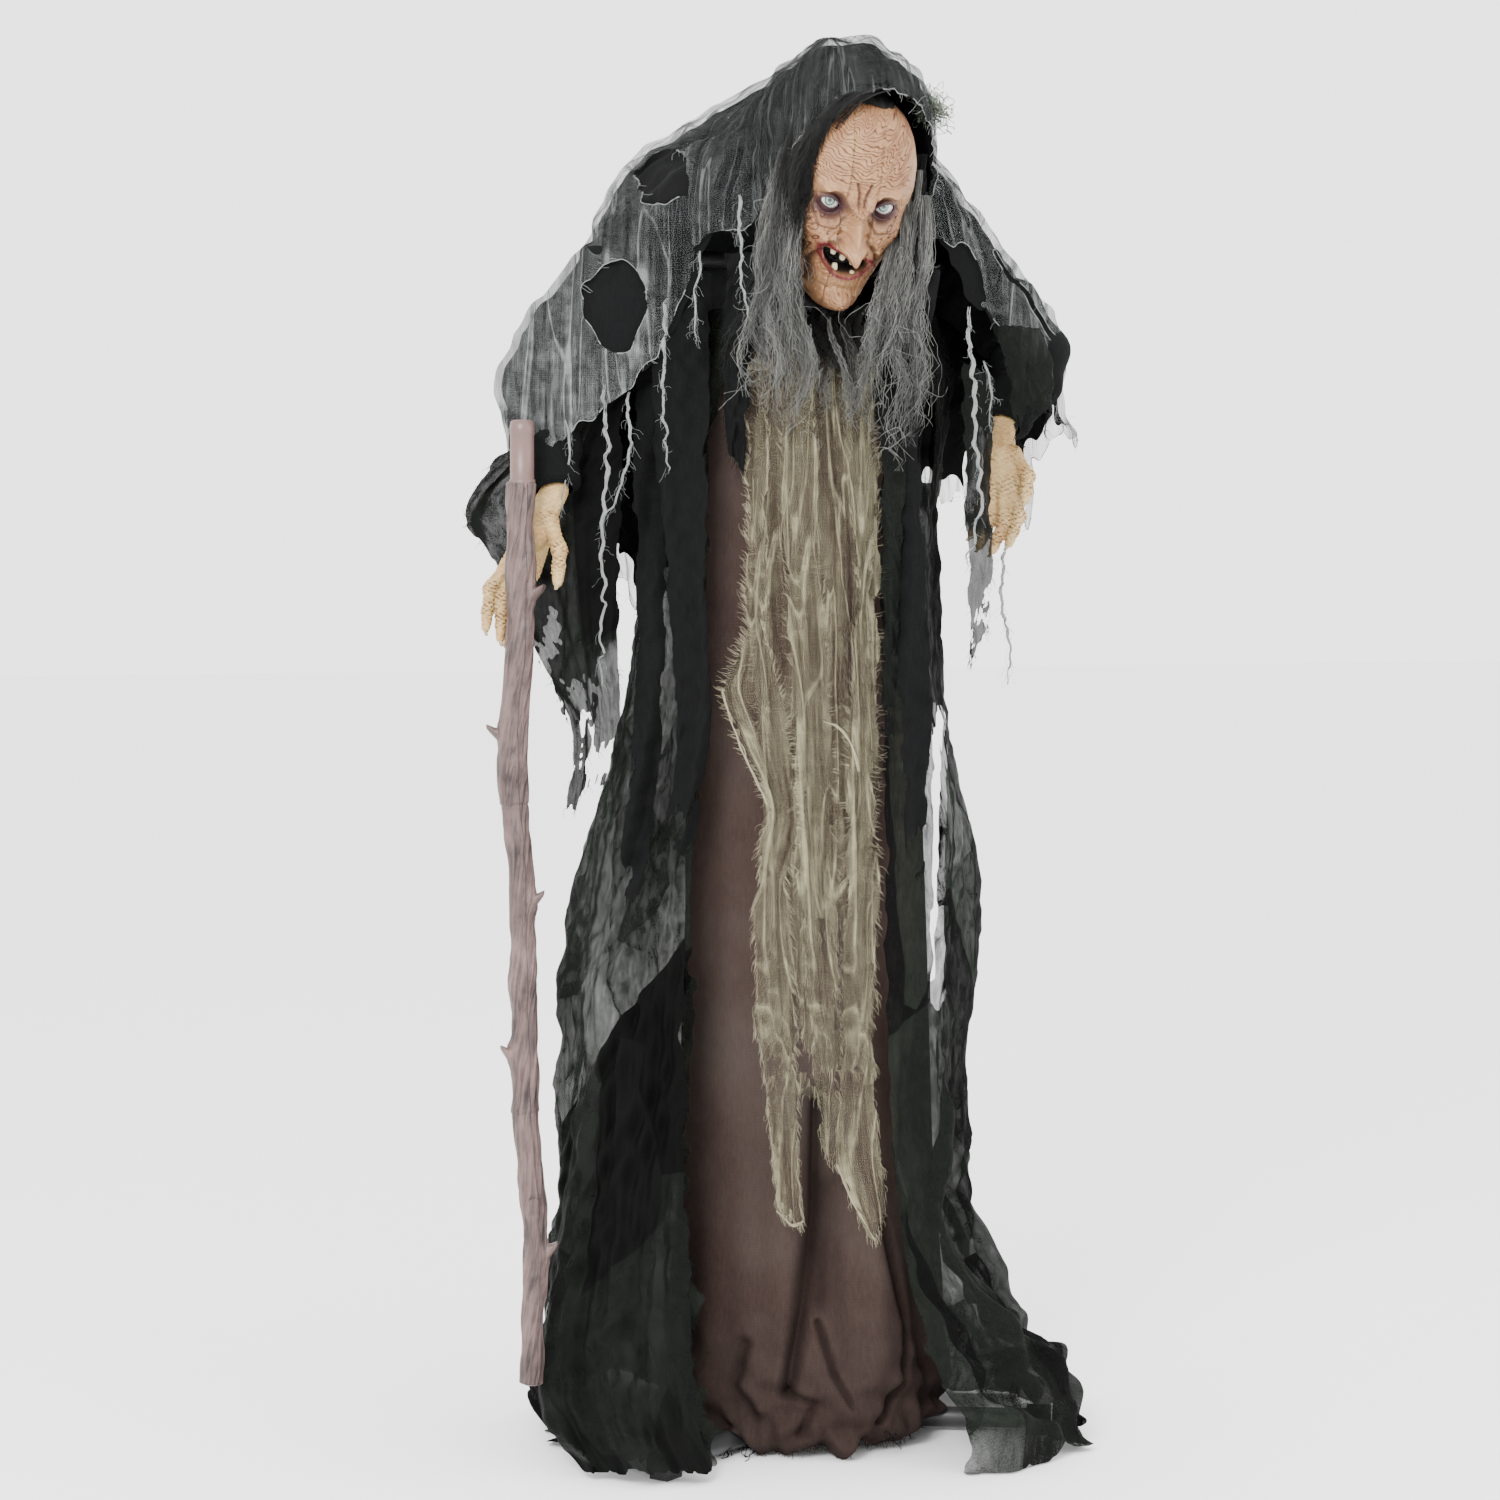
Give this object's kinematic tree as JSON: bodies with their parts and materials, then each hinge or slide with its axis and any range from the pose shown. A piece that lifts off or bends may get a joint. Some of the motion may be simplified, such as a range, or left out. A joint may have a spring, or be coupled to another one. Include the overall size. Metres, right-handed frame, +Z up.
{
  "type": "animated witch figure",
  "caption": "Life-size hunched witch decoration on a stand, leaning on a knotted cane; its torso and head turn, and its arms pivot at the shoulders.",
  "frame": {"origin": "middle of the base hub's underside, on the floor, below the pole's axis", "axes": "+Z up, the figure faces -Y, its right arm and cane are towards -X"},
  "size_m": [0.785, 0.61, 1.7217],
  "materials": {
    "black_paint": "semi-gloss black powder coat on steel tube",
    "zinc_steel": "zinc-plated steel",
    "black_plastic": "matt black moulded plastic",
    "white_nylon": "plain white nylon",
    "motor_case": "satin grey-black housing",
    "rubber_black": "matt soft black",
    "board_green": "satin green board",
    "lens_dark": "glossy dark red",
    "button_red": "glossy red",
    "vinyl_skin": "matt painted soft vinyl, peach-tan with dark washes",
    "eye_enamel": "glossy, with pale grey-green iris",
    "lamp_clear": "clear",
    "tooth_vinyl": "dull stained ivory",
    "hair_grey": "grey synthetic hair",
    "cane_plastic": "matt mauve-brown with a grooved wood grain",
    "brown_cloth": "matt dark brown woven cloth",
    "black_cloth": "sheer black crinkled cloth",
    "beige_gauze": "open-weave beige gauze",
    "grey_gauze": "open-weave grey gauze",
    "grey_foam": "soft grey foam"
  },
  "bodies": {
    "base": {"base_hub": "black_paint", "right_leg": "black_paint", "left_leg": "black_paint", "back_leg": "black_paint", "foot_caps": "rubber_black", "lower_pole": "black_paint", "upper_pole": "black_paint", "pole_collar": "black_plastic", "pole_thumb_screw": "black_plastic", "motor_deck": "black_paint", "centre_post": "zinc_steel", "thrust_washer": "zinc_steel", "waist_gearmotor": "motor_case", "motor_screws": "zinc_steel", "control_box_base": "black_plastic", "control_box_cover": "black_plastic", "circuit_board": "board_green", "speaker": "black_plastic", "sensor_lens": "lens_dark", "dc_inlet": "black_plastic", "cover_screws": "zinc_steel", "dress": "brown_cloth", "robe": "black_cloth"},
    "pinion": {"waist_pinion": "white_nylon"},
    "button": {"try_me_button": "button_red"},
    "switch": {"mode_switch": "button_red"},
    "torso": {"turntable_gear": "white_nylon", "torso_hub": "black_plastic", "gear_screws": "zinc_steel", "spine_tube": "black_paint", "shoulder_bar": "black_paint", "shoulder_clamp": "black_plastic", "shoulder_screws": "zinc_steel", "neck_bracket": "black_paint", "head_gearmotor": "motor_case", "hump_pad": "grey_foam", "gauze_apron": "beige_gauze", "shawl": "grey_gauze"},
    "head": {"neck_shaft": "zinc_steel", "head_mount_disc": "black_plastic", "head_shell": "vinyl_skin", "right_eye": "eye_enamel", "left_eye": "eye_enamel", "eye_lamps": "lamp_clear", "mouth_insert": "tooth_vinyl", "wig": "hair_grey", "hood": "grey_gauze"},
    "right_arm": {"right_arm_rod": "black_paint", "right_sleeve": "black_cloth", "right_hand": "vinyl_skin", "right_sleeve_drape": "black_cloth", "cane_top": "cane_plastic", "cane_middle": "cane_plastic", "cane_bottom": "cane_plastic", "cane_screw": "zinc_steel"},
    "left_arm": {"left_arm_rod": "black_paint", "left_sleeve": "black_cloth", "left_hand": "vinyl_skin", "left_sleeve_drape": "black_cloth"}
  },
  "joints": [
    {"name": "torso_turn", "type": "hinge", "parent": "base", "child": "torso", "pos_m": [0, 0, 0.984], "axis": [0, 0, 1], "range_deg": [-15, 15]},
    {"name": "waist_pinion_spin", "type": "hinge", "parent": "base", "child": "pinion", "pos_m": [0, 0.0603, 0.984], "axis": [0, 0, 1], "range_deg": [-50, 50]},
    {"name": "head_turn", "type": "hinge", "parent": "torso", "child": "head", "pos_m": [-0.02, -0.14, 1.53], "axis": [0, -0.4226, 0.9063], "range_deg": [-8, 32]},
    {"name": "right_shoulder_swing", "type": "hinge", "parent": "torso", "child": "right_arm", "pos_m": [-0.16, 0.01, 1.462], "axis": [1, 0, 0], "range_deg": [-25, 10]},
    {"name": "left_shoulder_swing", "type": "hinge", "parent": "torso", "child": "left_arm", "pos_m": [0.16, 0.01, 1.462], "axis": [1, 0, 0], "range_deg": [-25, 10]},
    {"name": "try_me_button_press", "type": "slide", "parent": "base", "child": "button", "axis": [0, 1, 0], "range_m": [0, 0.0025], "stiffness_N_per_m": 400, "springref_m": -0.0005},
    {"name": "mode_switch_slide", "type": "slide", "parent": "base", "child": "switch", "axis": [1, 0, 0], "range_m": [0, 0.004]}
  ],
  "couplings": [
    {"joint": "waist_pinion_spin", "follows": "torso_turn", "ratio": -3.2857}
  ]
}
